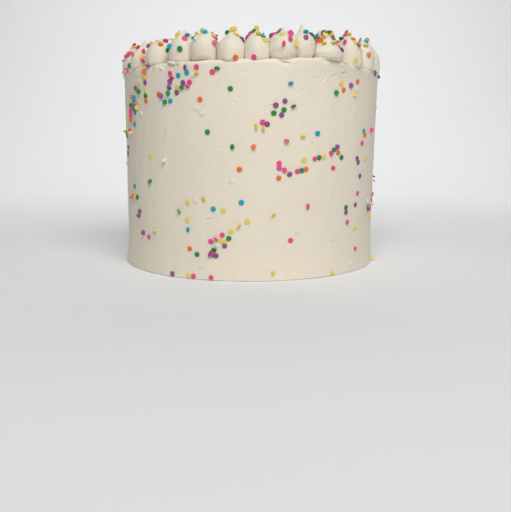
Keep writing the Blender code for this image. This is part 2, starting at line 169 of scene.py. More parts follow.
# smooth icing: cream with a faint cloud in it, long scraper marks, fine drag lines and a few air holes, with
# painted shade inside the air holes
def mixScrapedCoat():
    coat = Finish(
        "scraped buttercream", IOR=1.42, Specular_IOR_Level=0.42,
        Subsurface_Weight=0.22, Subsurface_Radius=lightSpread, Subsurface_Scale=0.005,
    )
    cloud = coat.noise(0.045, 3, 0.55)
    grain = coat.noise(0.0016, 2, 0.6)
    drawn = coat.noise(0.010, 3, 0.55, coat.mapped((1, 1, 7), (0, scrapedCoat["drawnTurn"], 0)))
    lines = coat.noise(0.0022, 2, 0.5, coat.mapped((1, 1, 6), (0, scrapedCoat["scratchTurn"], 0)))
    holes = coat.airHoles(0.019, 0.0004)
    base = coat.blend(cloud, scrapedCoat["deep"], scrapedCoat["pale"])
    # the air holes get the darker colour as painted shade, on top of their bumped hollows
    coat.feed("Base Color", coat.blend(holes, scrapedCoat["pit"], base))
    coat.feed("Roughness", 0.5 + 0.12 * drawn + 0.06 * grain)
    pits = coat.bump(holes, 0.0005)
    dragged = coat.bump(drawn, 0.0016, 0.4, pits)
    coat.feed("Normal", coat.bump(lines + 0.3 * grain, 0.0004, 0.6, dragged))
    return coat.material


# pit is painted shade: the darker colour inside the air holes
pipedIcing = {"pale": (0.85, 0.782, 0.652), "deep": (0.815, 0.739, 0.598), "pit": (0.74, 0.655, 0.51)}


# piped icing: smoother and a touch glossier, with small air holes that hold painted shade, and soft drag from
# the nozzle
def mixPipedIcing():
    piped = Finish(
        "piped buttercream", IOR=1.42, Specular_IOR_Level=0.45,
        Subsurface_Weight=0.24, Subsurface_Radius=lightSpread, Subsurface_Scale=0.004,
    )
    cloud = piped.noise(0.012, 2, 0.5)
    grain = piped.noise(0.0012, 2, 0.6)
    swell = piped.noise(0.0042, 2, 0.5)
    holes = piped.airHoles(0.016, 0.00035)
    base = piped.blend(cloud, pipedIcing["deep"], pipedIcing["pale"])
    # the air holes get the darker colour as painted shade, on top of their bumped hollows
    piped.feed("Base Color", piped.blend(holes, pipedIcing["pit"], base))
    piped.feed("Roughness", 0.46 + 0.1 * swell + 0.06 * grain)
    pits = piped.bump(holes, 0.0004)
    piped.feed("Normal", piped.bump(swell + 0.15 * grain, 0.0007, 0.5, pits))
    return piped.material


sprinkleColours = {
    "P": ("pink", (0.90, 0.085, 0.29)),
    "O": ("orange", (0.93, 0.202, 0.033)),
    "Y": ("yellow", (0.90, 0.73, 0.13)),
    "G": ("green", (0.018, 0.29, 0.062)),
    "B": ("blue", (0.004, 0.40, 0.58)),
    "V": ("violet", (0.315, 0.095, 0.30)),
    "W": ("white", (0.95, 0.88, 0.75)),
}


# pressed sugar: its colour is a little patchy and dusty, and its face faintly pitted
def mixSugar(name, tint):
    sugar = Finish(name + " sugar", IOR=1.45, Specular_IOR_Level=0.25)
    patches = sugar.noise(0.0018, 3, 0.6)
    dust = sugar.noise(0.0004, 2, 0.5)
    dark = tuple(0.88 * part for part in tint)
    dusty = tuple(part + (0.8 - part) * 0.02 for part in tint)
    sugar.feed("Base Color", sugar.blend(patches, dark, dusty))
    sugar.feed("Roughness", 0.38 + 0.22 * patches)
    sugar.feed("Normal", sugar.bump(dust + patches, 0.00006, 0.7))
    return sugar.material


scrapedMaterial, pipedMaterial = mixScrapedCoat(), mixPipedIcing()
print("materials mixed")


# starts a piece from a primitive: everything else is deselected first
def startPiece(name, addPrimitive, **size):
    if bpy.context.object and bpy.context.object.mode != "OBJECT":
        bpy.ops.object.mode_set(mode="OBJECT")
    bpy.ops.object.select_all(action="DESELECT")
    addPrimitive(**size)
    made = bpy.context.active_object
    made.name = made.data.name = name
    bpy.ops.object.transform_apply(location=True, rotation=True, scale=True)
    return made


# selects one piece alone, for the operators that follow
def selectOnly(piece):
    bpy.ops.object.select_all(action="DESELECT")
    piece.select_set(True)
    bpy.context.view_layer.objects.active = piece


# in edit mode, selects just the vertices, edges or faces that wanted() says
def pick(piece, mode, wanted):
    bpy.ops.mesh.select_mode(type=mode)
    bpy.ops.mesh.select_all(action="DESELECT")
    shape = bmesh.from_edit_mesh(piece.data)
    for part in {"VERT": shape.verts, "EDGE": shape.edges, "FACE": shape.faces}[mode]:
        if wanted(part):
            part.select_set(True)
    bmesh.update_edit_mesh(piece.data)


# azimuths are in degrees from the front, to the right
def around(azimuth, radius, height):
    angle = math.radians(azimuth)
    return Vector((radius * math.sin(angle), -radius * math.cos(angle), height))


# how far round one azimuth lies from another, the short way
def turnFrom(other, azimuth):
    return (azimuth - other + 180) % 360 - 180


icedCake = {
    "radius": 0.108,
    "height": 0.1569,
    "footFlare": 0.002,
    "footHeight": 0.032,
    "footRound": (0.0008, 0.0005),  # the corner at the foot, in and up
    "underside": 0.992,  # the flat underneath, against the side
    "edgeRound": 0.003,
    "lean": 0.0015,  # the top has settled towards +X
    "rise": 0.0004,  # and is higher on that side
    "lift": (0.0027, 29, 14),  # its edge is pushed up at one place: how far, azimuth and spread
    "around": 480,  # faces round the side, and up it
    "up": 110,
    "topSteps": (0.0010, 0.0020, 0.0030, 0.0045, 0.0065, 0.0090, 0.0125, 0.0165, 0.0205),  # in from the edge
    "topGap": 0.0030,  # and between the rings after those
    "swell": 0.00030,  # broad unevenness of the scraped side
    "drag": 0.00013,  # upright marks of the scraper
    "rimWaver": 0.0009,
    "rimBand": 0.007,
    "footWaver": 0.0006,
    "footBand": 0.006,
    "swirl": 0.0005,  # the spatula's spiral on the top
    "swirlPitch": 0.017,
    "closeUp": 6.0,  # millimetres round a nick that get a finer mesh, so that the nick is cut sharply
    "nickReach": 9,  # and millimetres round it that it can move
}

# the broad soft hollow under the rim, which fades sooner upwards than downwards
rimHollow = {"azimuth": 39, "spread": 16, "height": 0.144, "above": 0.009, "below": 0.028, "depth": 0.0021}

# small faults in the side: azimuth, height, length, slope of the long way, width, depth, in degrees and
# millimetres
nicks = (
    (28.6, 141.8, 3.6, 40, 1.0, 0.9),
    (26.8, 140.2, 1.8, 60, 0.8, 0.5),
    (39.2, 149.1, 3.4, 30, 1.0, 0.9),
    (41.0, 149.6, 2.0, -20, 0.9, 0.6),
    (33.6, 145.5, 3.2, 25, 1.0, 0.8),
    (34.7, 141.0, 3.4, 95, 1.2, 0.6),
    (24.5, 143.1, 2.0, 20, 0.8, 0.5),
    (19.8, 135.2, 2.2, 20, 0.8, 0.4),
    (17.6, 131.3, 1.4, 30, 0.8, 0.3),
    (7.6, 125.5, 3.0, 15, 0.9, 0.7),
    (7.1, 139.6, 1.6, 10, 0.8, 0.4),
    (11.4, 154.6, 8.4, -19, 1.7, 1.5),
    (-37, 152.6, 3.6, -20, 2.0, -0.9),
    (29.5, 155.0, 12.0, -8, 4.4, 0.7),
    (38, 153.8, 9.0, -28, 2.6, -0.5),
    (-52.6, 151.8, 3.0, 60, 2.0, -0.8),
    (-57.4, 155.6, 2.6, 70, 1.8, 1.2),
    (25.2, 124.6, 3.4, -35, 0.9, 0.5),
    (30.6, 123.6, 2.4, 50, 0.9, 0.5),
    (33.8, 124.2, 2.2, 45, 0.9, 0.4),
    (36.5, 119.7, 2.0, 35, 0.9, 0.3),
    (47.7, 125.8, 4.6, 85, 1.2, 0.4),
    (24.2, 97.9, 2.2, 10, 1.0, 0.4),
    (-31.6, 121.5, 1.1, 0, 1.1, 0.6),
    (-6.5, 127.7, 2.6, -35, 1.0, 0.4),
    (-2.8, 148.1, 3.4, 30, 1.6, 0.4),
    (-13.9, 95.9, 1.1, 0, 1.0, 0.5),
    (-12.4, 96.7, 1.1, 0, 1.0, 0.5),
    (-14.7, 99.7, 1.6, 60, 1.0, 0.3),
    (-0.4, 91.8, 1.8, 10, 1.0, 0.5),
    (-19.8, 72.4, 1.5, 0, 1.4, 0.5),
    (-16.3, 45.4, 4.4, 10, 1.0, 0.8),
    (-29.9, 18.8, 1.7, 70, 1.3, 0.6),
    (-7.2, 5.9, 2.0, 10, 1.0, 0.5),
    (-3.7, 23.9, 2.4, 0, 2.2, -0.3),
    (38.7, 58.9, 1.6, 80, 1.1, 0.5),
    (26.7, 47.7, 1.2, 0, 1.2, -0.4),
    (-37.6, 119.0, 2.4, 60, 1.6, -0.3),
    (118, 131, 3.0, 30, 1.0, 0.6),
    (141, 84, 2.2, 20, 1.0, 0.5),
    (163, 142, 3.6, -30, 1.1, 0.7),
    (176, 36, 1.6, 0, 1.4, 0.5),
    (204, 112, 3.0, 40, 1.0, 0.6),
    (227, 147, 2.8, 15, 1.0, 0.6),
    (246, 63, 1.8, 80, 1.2, 0.5),
)


def settled(point):
    share = min(1.0, point.z / icedCake["height"])
    lift, liftAzimuth, spread = icedCake["lift"]
    azimuth = math.degrees(math.atan2(point.x, -point.y))
    pushed = math.exp(-(((azimuth - liftAzimuth) / spread) ** 2))
    rise = (icedCake["rise"] * point.x + lift * pushed * math.hypot(point.x, point.y)) / icedCake["radius"]
    return Vector((point.x + icedCake["lean"] * share, point.y, point.z + rise * share))


def sideRadius(height):
    share = max(0.0, 1 - height / icedCake["footHeight"])
    return icedCake["radius"] + icedCake["footFlare"] * share**2


# how far a nick moves the icing at a point that lies so far along and across it, with a small lip above
def nickDepth(along, across, length, width, depth):
    reach = math.exp(-((2 * along / length) ** 2))
    groove = math.exp(-((2 * across / width) ** 2))
    lip = math.exp(-((2 * (across - width) / width) ** 2))
    return reach * (0.45 * lip - groove) * depth


# how far the side stands out from its true round, in metres
def sideRelief(azimuth, height):
    at = around(azimuth, icedCake["radius"], height)
    relief = icedCake["swell"] * noise.noise(at * 17)
    relief += icedCake["drag"] * noise.noise(Vector((at.x * 75, at.y * 75, at.z * 7)))
    relief += 0.5 * icedCake["drag"] * noise.noise(at * 90)
    nearTop = max(0.0, 1 - (icedCake["height"] - height) / icedCake["rimBand"])
    relief += icedCake["rimWaver"] * nearTop * noise.noise(Vector((at.x * 60, at.y * 60, 3.7)))
    aside = turnFrom(rimHollow["azimuth"], azimuth) / rimHollow["spread"]
    away = (height - rimHollow["height"]) / rimHollow["above" if height > rimHollow["height"] else "below"]
    relief -= rimHollow["depth"] * math.exp(-aside * aside - away * away)
    nearFoot = max(0.0, 1 - height / icedCake["footBand"])
    relief += icedCake["footWaver"] * nearFoot * noise.noise(Vector((at.x * 80, at.y * 80, 9.1)))
    for nickAzimuth, nickHeight, length, slope, width, depth in nicks:
        sideways = math.radians(turnFrom(nickAzimuth, azimuth)) * icedCake["radius"] * 1000
        upwards = height * 1000 - nickHeight
        if max(abs(sideways), abs(upwards)) > icedCake["nickReach"]:
            continue
        turn = math.radians(slope)
        along = sideways * math.cos(turn) + upwards * math.sin(turn)
        across = upwards * math.cos(turn) - sideways * math.sin(turn)
        relief += nickDepth(along, across, length, width, depth) / 1000
    return relief


# how far the top stands up from flat: a spatula's spiral that dies away at the middle and under the dollops
def topRelief(point):
    radius, azimuth = math.hypot(point.x, point.y), math.atan2(point.y, point.x)
    turns = math.sin(math.tau * radius / icedCake["swirlPitch"] - azimuth)
    fade = min(1.0, radius / 0.02) * min(1.0, max(0.0, (0.100 - radius) / 0.012))
    relief = icedCake["swirl"] * fade * (turns * 0.7 + 0.6 * noise.noise(point * 45))
    waver = min(1.0, max(0.0, (radius - 0.094) / 0.008))
    return relief + icedCake["rimWaver"] * waver * noise.noise(Vector((point.x * 60, point.y * 60, 5.2)))


# rounds the corner at the top edge: the last rows of the side and the first rings of the top share its arc
def onRim(radius, height):
    edge, corner = icedCake["edgeRound"], icedCake["radius"] - icedCake["edgeRound"]
    low = icedCake["height"] - edge
    if height < icedCake["height"] - 1e-6:
        if height <= low:
            return radius, height
        turn = (height - low) / edge * math.pi / 4
    else:
        if radius <= corner:
            return radius, height
        turn = math.pi / 2 - (radius - corner) / edge * math.pi / 4
    return corner + edge * math.cos(turn), low + edge * math.sin(turn)


def modelIcedCake():
    radius, height = icedCake["radius"], icedCake["height"]
    cake = startPiece(
        "icedCake", bpy.ops.mesh.primitive_cylinder_add, vertices=icedCake["around"], radius=radius,
        depth=height, end_fill_type="NOTHING", location=(0, 0, height / 2),
    )
    bpy.ops.object.mode_set(mode="EDIT")
    pick(cake, "EDGE", lambda edge: abs(edge.verts[0].co.z - edge.verts[1].co.z) > 0.1)
    bpy.ops.mesh.subdivide_edgering(number_cuts=icedCake["up"] - 1, interpolation="LINEAR")
    pick(cake, "EDGE", lambda edge: min(vertex.co.z for vertex in edge.verts) > height - 1e-5)
    rings = [radius - step for step in icedCake["topSteps"]]
    while rings[-1] > 0.004:
        rings.append(rings[-1] - icedCake["topGap"])
    last = radius
    for ring in rings:
        bpy.ops.mesh.extrude_region_move()
        bpy.ops.transform.resize(value=(ring / last, ring / last, 1), center_override=(0, 0, height))
        last = ring
    bpy.ops.mesh.merge(type="CENTER")
    pick(cake, "EDGE", lambda edge: max(vertex.co.z for vertex in edge.verts) < 1e-5)
    bpy.ops.mesh.extrude_region_move()
    under = icedCake["underside"]
    bpy.ops.transform.resize(value=(under, under, 1), center_override=(0, 0, 0))
    bpy.ops.mesh.edge_face_add()

    def nearNick(face):
        middle = face.calc_center_median()
        if middle.z > height - 0.0015 or middle.z < 0.001:
            return False
        azimuth = math.degrees(math.atan2(middle.x, -middle.y))
        for nickAzimuth, nickHeight, length, *_ in nicks:
            sideways = math.radians(turnFrom(nickAzimuth, azimuth)) * radius * 1000
            reach = min(icedCake["closeUp"], length * 0.75 + 1.6)
            if math.hypot(sideways, middle.z * 1000 - nickHeight) < reach:
                return True
        return False

    pick(cake, "FACE", nearNick)
    bpy.ops.mesh.subdivide(number_cuts=3)
    bpy.ops.mesh.select_all(action="SELECT")
    bpy.ops.mesh.normals_make_consistent(inside=False)
    bpy.ops.object.mode_set(mode="OBJECT")

    footIn, footUp = icedCake["footRound"]
    for vertex in cake.data.vertices:
        point = vertex.co
        if point.z < 1e-6 and math.hypot(point.x, point.y) < radius * 0.999:
            share = (sideRadius(0) - footIn) / radius / under
            vertex.co = settled(Vector((point.x * share, point.y * share, 0)))
            continue
        azimuth = math.degrees(math.atan2(point.x, -point.y))
        flat, high = onRim(math.hypot(point.x, point.y), point.z)
        if point.z > height - 1e-6:
            high += topRelief(point)
        else:
            flat += sideRadius(point.z) - radius + sideRelief(azimuth, point.z)
            if point.z < 1e-6:
                high = footUp
        vertex.co = settled(around(azimuth, flat, high))
    bpy.ops.object.shade_smooth_by_angle(angle=math.radians(50))
    cake.data.materials.append(scrapedMaterial)
    return cake


cake = modelIcedCake()
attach(cake, "root")
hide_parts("cake")
print("cake iced:", len(cake.data.polygons), "faces")


dollopRing = {
    "radius": 0.0987,
    "sink": 0.0006,  # how far a dollop sits down into the icing
    "backCount": 17,
    "backWidth": (0.0198, 0.0215),
    "backHeight": (0.0205, 0.0245),
    "around": 32,
    "seed": 7,
    "pressed": 0.0012,  # neighbours are pressed this far into each other
    "pressedFrom": 0.0011,  # and flatten from this far off
    "uneven": (0.045, 0.012),  # broad and fine, as shares of the width
    "fold": 0.045,
    "sagTo": 0.42,  # the foot sags over the edge up to this share of the height
    "curlFrom": 0.72,  # and the tip curls above this one
}

# width of a dollop against its height, as shares: to a peak, a rounder dome with a short peak, a body on a
# drawn-in foot under a long peak, a round ball on such a foot, one with a round knob where icing fell back
pointed = ((0, 0.78), (0.03, 0.87), (0.08, 0.945), (0.15, 0.975), (0.36, 0.99), (0.56, 0.84), (0.71, 0.56),
           (0.82, 0.31), (0.90, 0.15), (0.955, 0.07), (1, 0.015))
domed = ((0, 0.78), (0.03, 0.87), (0.08, 0.945), (0.15, 0.975), (0.36, 1.0), (0.56, 0.92), (0.70, 0.75),
         (0.81, 0.49), (0.89, 0.27), (0.95, 0.11), (1, 0.015))
peaked = ((0, 0.60), (0.03, 0.71), (0.08, 0.82), (0.15, 0.91), (0.25, 0.975), (0.36, 1.0), (0.47, 0.965),
          (0.56, 0.87), (0.63, 0.72), (0.69, 0.50), (0.76, 0.34), (0.85, 0.19), (0.93, 0.09), (1, 0.012))
balled = ((0, 0.60), (0.03, 0.71), (0.08, 0.82), (0.15, 0.91), (0.25, 0.975), (0.38, 1.0), (0.56, 0.94),
          (0.70, 0.73), (0.77, 0.51), (0.83, 0.33), (0.90, 0.16), (0.95, 0.075), (1, 0.012))
blunt = ((0, 0.80), (0.03, 0.89), (0.08, 0.955), (0.15, 0.99), (0.22, 1.0), (0.30, 0.93), (0.38, 0.84),
         (0.46, 0.75), (0.54, 0.67), (0.64, 0.60), (0.76, 0.56), (0.88, 0.49), (0.955, 0.35), (0.988, 0.19),
         (1, 0.03))

# left to right: azimuth in degrees, then width, height and lean of the peak to the right in millimetres, form
frontDollops = (
    (-72, 20.5, 22.8, -1.5, domed),
    (-58, 21.5, 21.0, 4.8, pointed),
    (-43.7, 22.0, 19.8, 3.0, domed),
    (-30.6, 20.8, 23.2, 3.0, domed),
    (-19.6, 20.8, 22.8, 0.8, domed),
    (-8.3, 21.4, 21.4, 0.5, pointed),
    (2, 19.8, 22.4, -0.2, pointed),
    (12.8, 23.6, 22.3, 0.2, balled),
    (21.6, 18.0, 24.8, -1.4, peaked),
    (33.1, 25.2, 21.0, -1.0, blunt),
    (47.6, 22.0, 24.2, -1.0, domed),
    (60.8, 21.4, 23.8, 0.4, domed),
    (74.5, 20.8, 27.6, 0.8, pointed),
)

# how far the front ones' feet have sagged over the edge of the cake, in millimetres
sags = (1.0, 0.8, 0.6, 0.7, -1.8, 2.4, 1.7, 2.0, 0.3, 0.8, 2.3, 2.0, 1.8)


# every dollop, with the azimuths where it meets its neighbours as its limits
def layOutDollops():
    draws = random.Random(dollopRing["seed"])
    row = [(azimuth, width / 1000, height / 1000, lean / 1000, form)
           for azimuth, width, height, lean, form in frontDollops]
    first, last = row[0][0] + 360, row[-1][0]
    step = (first - last) / (dollopRing["backCount"] + 1)
    for number in range(1, dollopRing["backCount"] + 1):
        azimuth = last + step * (number + draws.uniform(-0.08, 0.08))
        width, height = draws.uniform(*dollopRing["backWidth"]), draws.uniform(*dollopRing["backHeight"])
        form = draws.choice((pointed, domed, pointed, domed, peaked, domed, blunt))
        row.append((azimuth, width, height, draws.uniform(-0.0025, 0.0025), form))
    laid = []
    for number, (azimuth, width, height, lean, form) in enumerate(row):
        before, after = row[number - 1], row[(number + 1) % len(row)]
        back = (azimuth - before[0]) % 360 * width / (width + before[1])
        forth = (after[0] - azimuth) % 360 * width / (width + after[1])
        laid.append((azimuth, width, height, lean, form, (azimuth - back, azimuth + forth)))
    return laid


# one kiss of icing a metre wide and a metre tall, pulled up ring by ring from its foot
def modelKiss(name, form):
    kiss = startPiece(
        name, bpy.ops.mesh.primitive_circle_add, vertices=dollopRing["around"], radius=form[0][1] / 2,
        fill_type="NGON",
    )
    bpy.ops.object.mode_set(mode="EDIT")
    bpy.ops.mesh.select_all(action="SELECT")
    finer = finerForm(form)
    for (lowRise, lowShare), (rise, share) in zip(finer, finer[1:]):
        bpy.ops.mesh.extrude_region_move(TRANSFORM_OT_translate={"value": (0, 0, rise - lowRise)})
        narrow = share / lowShare
        bpy.ops.transform.resize(value=(narrow, narrow, 1), center_override=(0, 0, rise))
    bpy.ops.mesh.merge(type="CENTER")
    bpy.ops.mesh.select_all(action="SELECT")
    bpy.ops.mesh.normals_make_consistent(inside=False)
    bpy.ops.object.mode_set(mode="OBJECT")
    return kiss


# the form with rings between its own, on a smooth curve through them
def finerForm(form, between=3):
    finer = []
    for index in range(len(form) - 1):
        before, start = form[max(index - 1, 0)], form[index]
        end, after = form[index + 1], form[min(index + 2, len(form) - 1)]
        for step in range(between):
            t = step / between
            point = []
            for axis in (0, 1):
                a, b, c, d = before[axis], start[axis], end[axis], after[axis]
                point.append(0.5 * (2 * b + (c - a) * t + (2 * a - 5 * b + 4 * c - d) * t**2
                                    + (3 * b - a - 3 * c + d) * t**3))
            finer.append(tuple(point))
    return finer + [form[-1]]


# where the piping went wrong: (dollop, azimuth on it, height share, reach, depth) in degrees and millimetres
dents = ((8, -28, 0.20, 2.6, 1.1), (8, -38, 0.12, 2.2, -0.5), (10, 12, 0.16, 3.2, 0.5), (5, 8, 0.2, 1.6, 0.4),
         (9, 24, 0.34, 1.6, 0.4), (12, -16, 0.5, 2.2, 0.4), (2, 20, 0.2, 2.6, 0.5), (1, -30, 0.3, 2.6, 0.5))


# holds a sideways distance back softly as it nears a limit, so that pressed icing bulges up to its neighbour
def softly(distance, limit, past):
    near = limit - dollopRing["pressedFrom"]
    if distance <= near:
        return distance
    return near + (limit + past - near) * (1 - math.exp((near - distance) / (limit + past - near)))


# a copy of the kiss at its own size and place, uneven in its own way and pressed flat against its neighbours
def placeKiss(model, number, azimuth, width, height, lean, form, limits):
    kiss = model.copy()
    kiss.data = model.data.copy()
    kiss.name = kiss.data.name = f"kiss_{number:02d}"
    bpy.context.scene.collection.objects.link(kiss)
    draws = random.Random(100 + number)
    low, high = (math.tan(math.radians(limit - azimuth)) for limit in limits)
    stand = Matrix.Translation(around(azimuth, dollopRing["radius"], icedCake["height"] - dollopRing["sink"]))
    stand @= Matrix.Rotation(math.radians(azimuth), 4, "Z")
    seed = Vector((number * 3.1, number * 1.7, 0))
    foldHeight, foldDepth = draws.uniform(0.5, 0.7), draws.uniform(0.2, 0.9)
    foldTurn = draws.uniform(0, math.tau)
    curl, curlTurn = draws.uniform(0.0004, 0.0013), draws.uniform(0, math.tau)
    broad, fine = dollopRing["uneven"]
    sag = sags[number - 1] / 1000 if number <= len(sags) else draws.uniform(0.0002, 0.0018)
    full = height + dollopRing["sink"]
    for vertex in kiss.data.vertices:
        share = vertex.co.z
        facing = math.atan2(vertex.co.x, -vertex.co.y)
        rounds = Vector((math.cos(facing), math.sin(facing), share * 2.2))
        swell = 1 + broad * noise.noise(rounds * 1.3 + seed) + fine * noise.noise(rounds * 4 + seed)
        fold = math.exp(-(((share - foldHeight - 0.035 * math.sin(facing + foldTurn)) / 0.02) ** 2))
        swell -= dollopRing["fold"] * foldDepth * fold
        point = Vector((vertex.co.x * width, vertex.co.y * width, share * full))
        for dented, azimuthOn, rise, reach, depth in dents:
            if dented == number:
                spot = around(azimuthOn, width / 2, rise * full)
                away = (point - spot).length * 1000 / reach
                hollow = math.exp(-(away**2)) - 0.5 * math.exp(-((away - 1.3) ** 2) * 5)
                swell -= hollow * depth / (500 * width)
        outward = max(0.0, -point.y / (width / 2)) ** 1.5 * max(0.0, 1 - share / dollopRing["sagTo"]) ** 1.4
        bend = max(0.0, share - dollopRing["curlFrom"]) ** 2 / (1 - dollopRing["curlFrom"]) ** 2
        point.x = point.x * swell + lean * share**2 + curl * bend * math.cos(curlTurn)
        point.y = point.y * swell + curl * bend * math.sin(curlTurn) - 0.3 * sag * outward
        point.z -= sag * outward
        fromAxis = dollopRing["radius"] - point.y
        point.x = softly(point.x, fromAxis * high, dollopRing["pressed"])
        point.x = -softly(-point.x, -fromAxis * low, dollopRing["pressed"])
        vertex.co = settled(stand @ point)
    selectOnly(kiss)
    bpy.ops.object.shade_smooth()
    kiss.data.materials.append(pipedMaterial)
    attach(kiss, "root")
    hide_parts(f"dollop_{number:02d}")
    return kiss


layout = layOutDollops()
models = {form: modelKiss("kiss", form) for form in (pointed, domed, peaked, balled, blunt)}
kisses = [placeKiss(models[dollop[4]], number, *dollop) for number, dollop in enumerate(layout, 1)]
for model in models.values():
    bpy.data.objects.remove(model, do_unlink=True)
print("dollops piped:", len(kisses), "with", len(kisses[0].data.polygons), "faces each")


# flakes of icing that tore off the spatula and stuck at the edge: azimuth, height, length, width, thickness,
# slope of the long way, and how far out from the side the middle lies, in degrees and millimetres
flakes = (
    (-31.6, 156.0, 7.4, 2.4, 3.4, -6, 0.2),
    (-28.7, 155.3, 3.4, 2.0, 2.6, 14, 0.0),
    (-40.9, 154.5, 3.2, 2.4, 1.8, 40, 0.0),
    (-50.0, 154.8, 2.8, 1.8, 2.0, 80, 0.0),
    (-75.5, 163.0, 4.4, 2.0, 2.2, 75, 0.3),
    (-77.0, 159.2, 4.0, 2.2, 2.4, 50, 0.6),
    (-76.0, 155.6, 3.8, 2.4, 1.8, 85, 0.1),
    (-69.5, 157.3, 3.4, 1.8, 1.4, 20, 0.0),
    (39.5, 156.6, 5.0, 1.8, 1.4, -20, -0.4),
    (142.0, 155.8, 4.6, 2.2, 1.8, 10, -0.3),
    (208.0, 155.4, 3.6, 2.4, 1.6, -25, -0.3),
)


# one ragged lump, laid once for each flake and joined into one piece
def stickFlakes():
    lump = startPiece("lump", bpy.ops.mesh.primitive_ico_sphere_add, subdivisions=4, radius=1)
    torn = bmesh.new()
    for number, (azimuth, height, length, width, thickness, slope, out) in enumerate(flakes):
        one = lump.data.copy()
        for vertex in one.vertices:
            seed = Vector((number * 4.7, 0, 0))
            rough = 0.42 * noise.noise(vertex.co * 1.4 + seed) + 0.26 * noise.noise(vertex.co * 3.4 - seed)
            vertex.co *= 1 + rough
        lie = Matrix.Translation(settled(around(azimuth, icedCake["radius"] + out / 1000, height / 1000)))
        lie @= Matrix.Rotation(math.radians(azimuth), 4, "Z") @ Matrix.Rotation(math.radians(-slope), 4, "Y")
        one.transform(lie @ Matrix.Diagonal((length / 2000, thickness / 2000, width / 2000, 1)))
        torn.from_mesh(one)
        bpy.data.meshes.remove(one)
    torn.to_mesh(lump.data)
    torn.free()
    lump.name = lump.data.name = "tornFlakes"
    bpy.ops.object.shade_smooth()
    lump.data.materials.append(pipedMaterial)
    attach(lump, "root")


stickFlakes()
print("flakes stuck:", len(flakes))


sprinkle = {
    "radius": 0.002,
    "thickness": 0.001,
    "sides": 12,
    "edge": 0.00022,
    "raise": 0.0002,  # how high the middle of a flat one lies over the icing
    "steepest": 62.0,
    "flatnessOnTheSide": 1.6,  # the higher, the fewer stand on their edges
    "flatnessOnTheCrown": 1.1,
    "slack": (0.1, 0.08),  # shares of those draws that are left where the lie is known
    "reach": 0.088,  # one thrown from outside lands no further in than this radius
    "lowest": 1.15,  # and no lower than this, in its own radii
    "onEdge": 0.45,  # and one on its edge stands out by this share of its radius
    "waver": 0.0004,
    "sizes": (-0.07, 0.03),
    "oval": 0.05,
}

# how far a sprinkle is turned over, and to which side, in degrees: 0 down, 90 right
lies = {
    "o": (6, 0), "u": (32, 180), "d": (32, 0), "l": (32, 270), "r": (32, 90), "U": (62, 180), "D": (62, 0),
    "L": (56, 270), "R": (56, 90), "/": (60, 45), "\\": (60, 315),
}

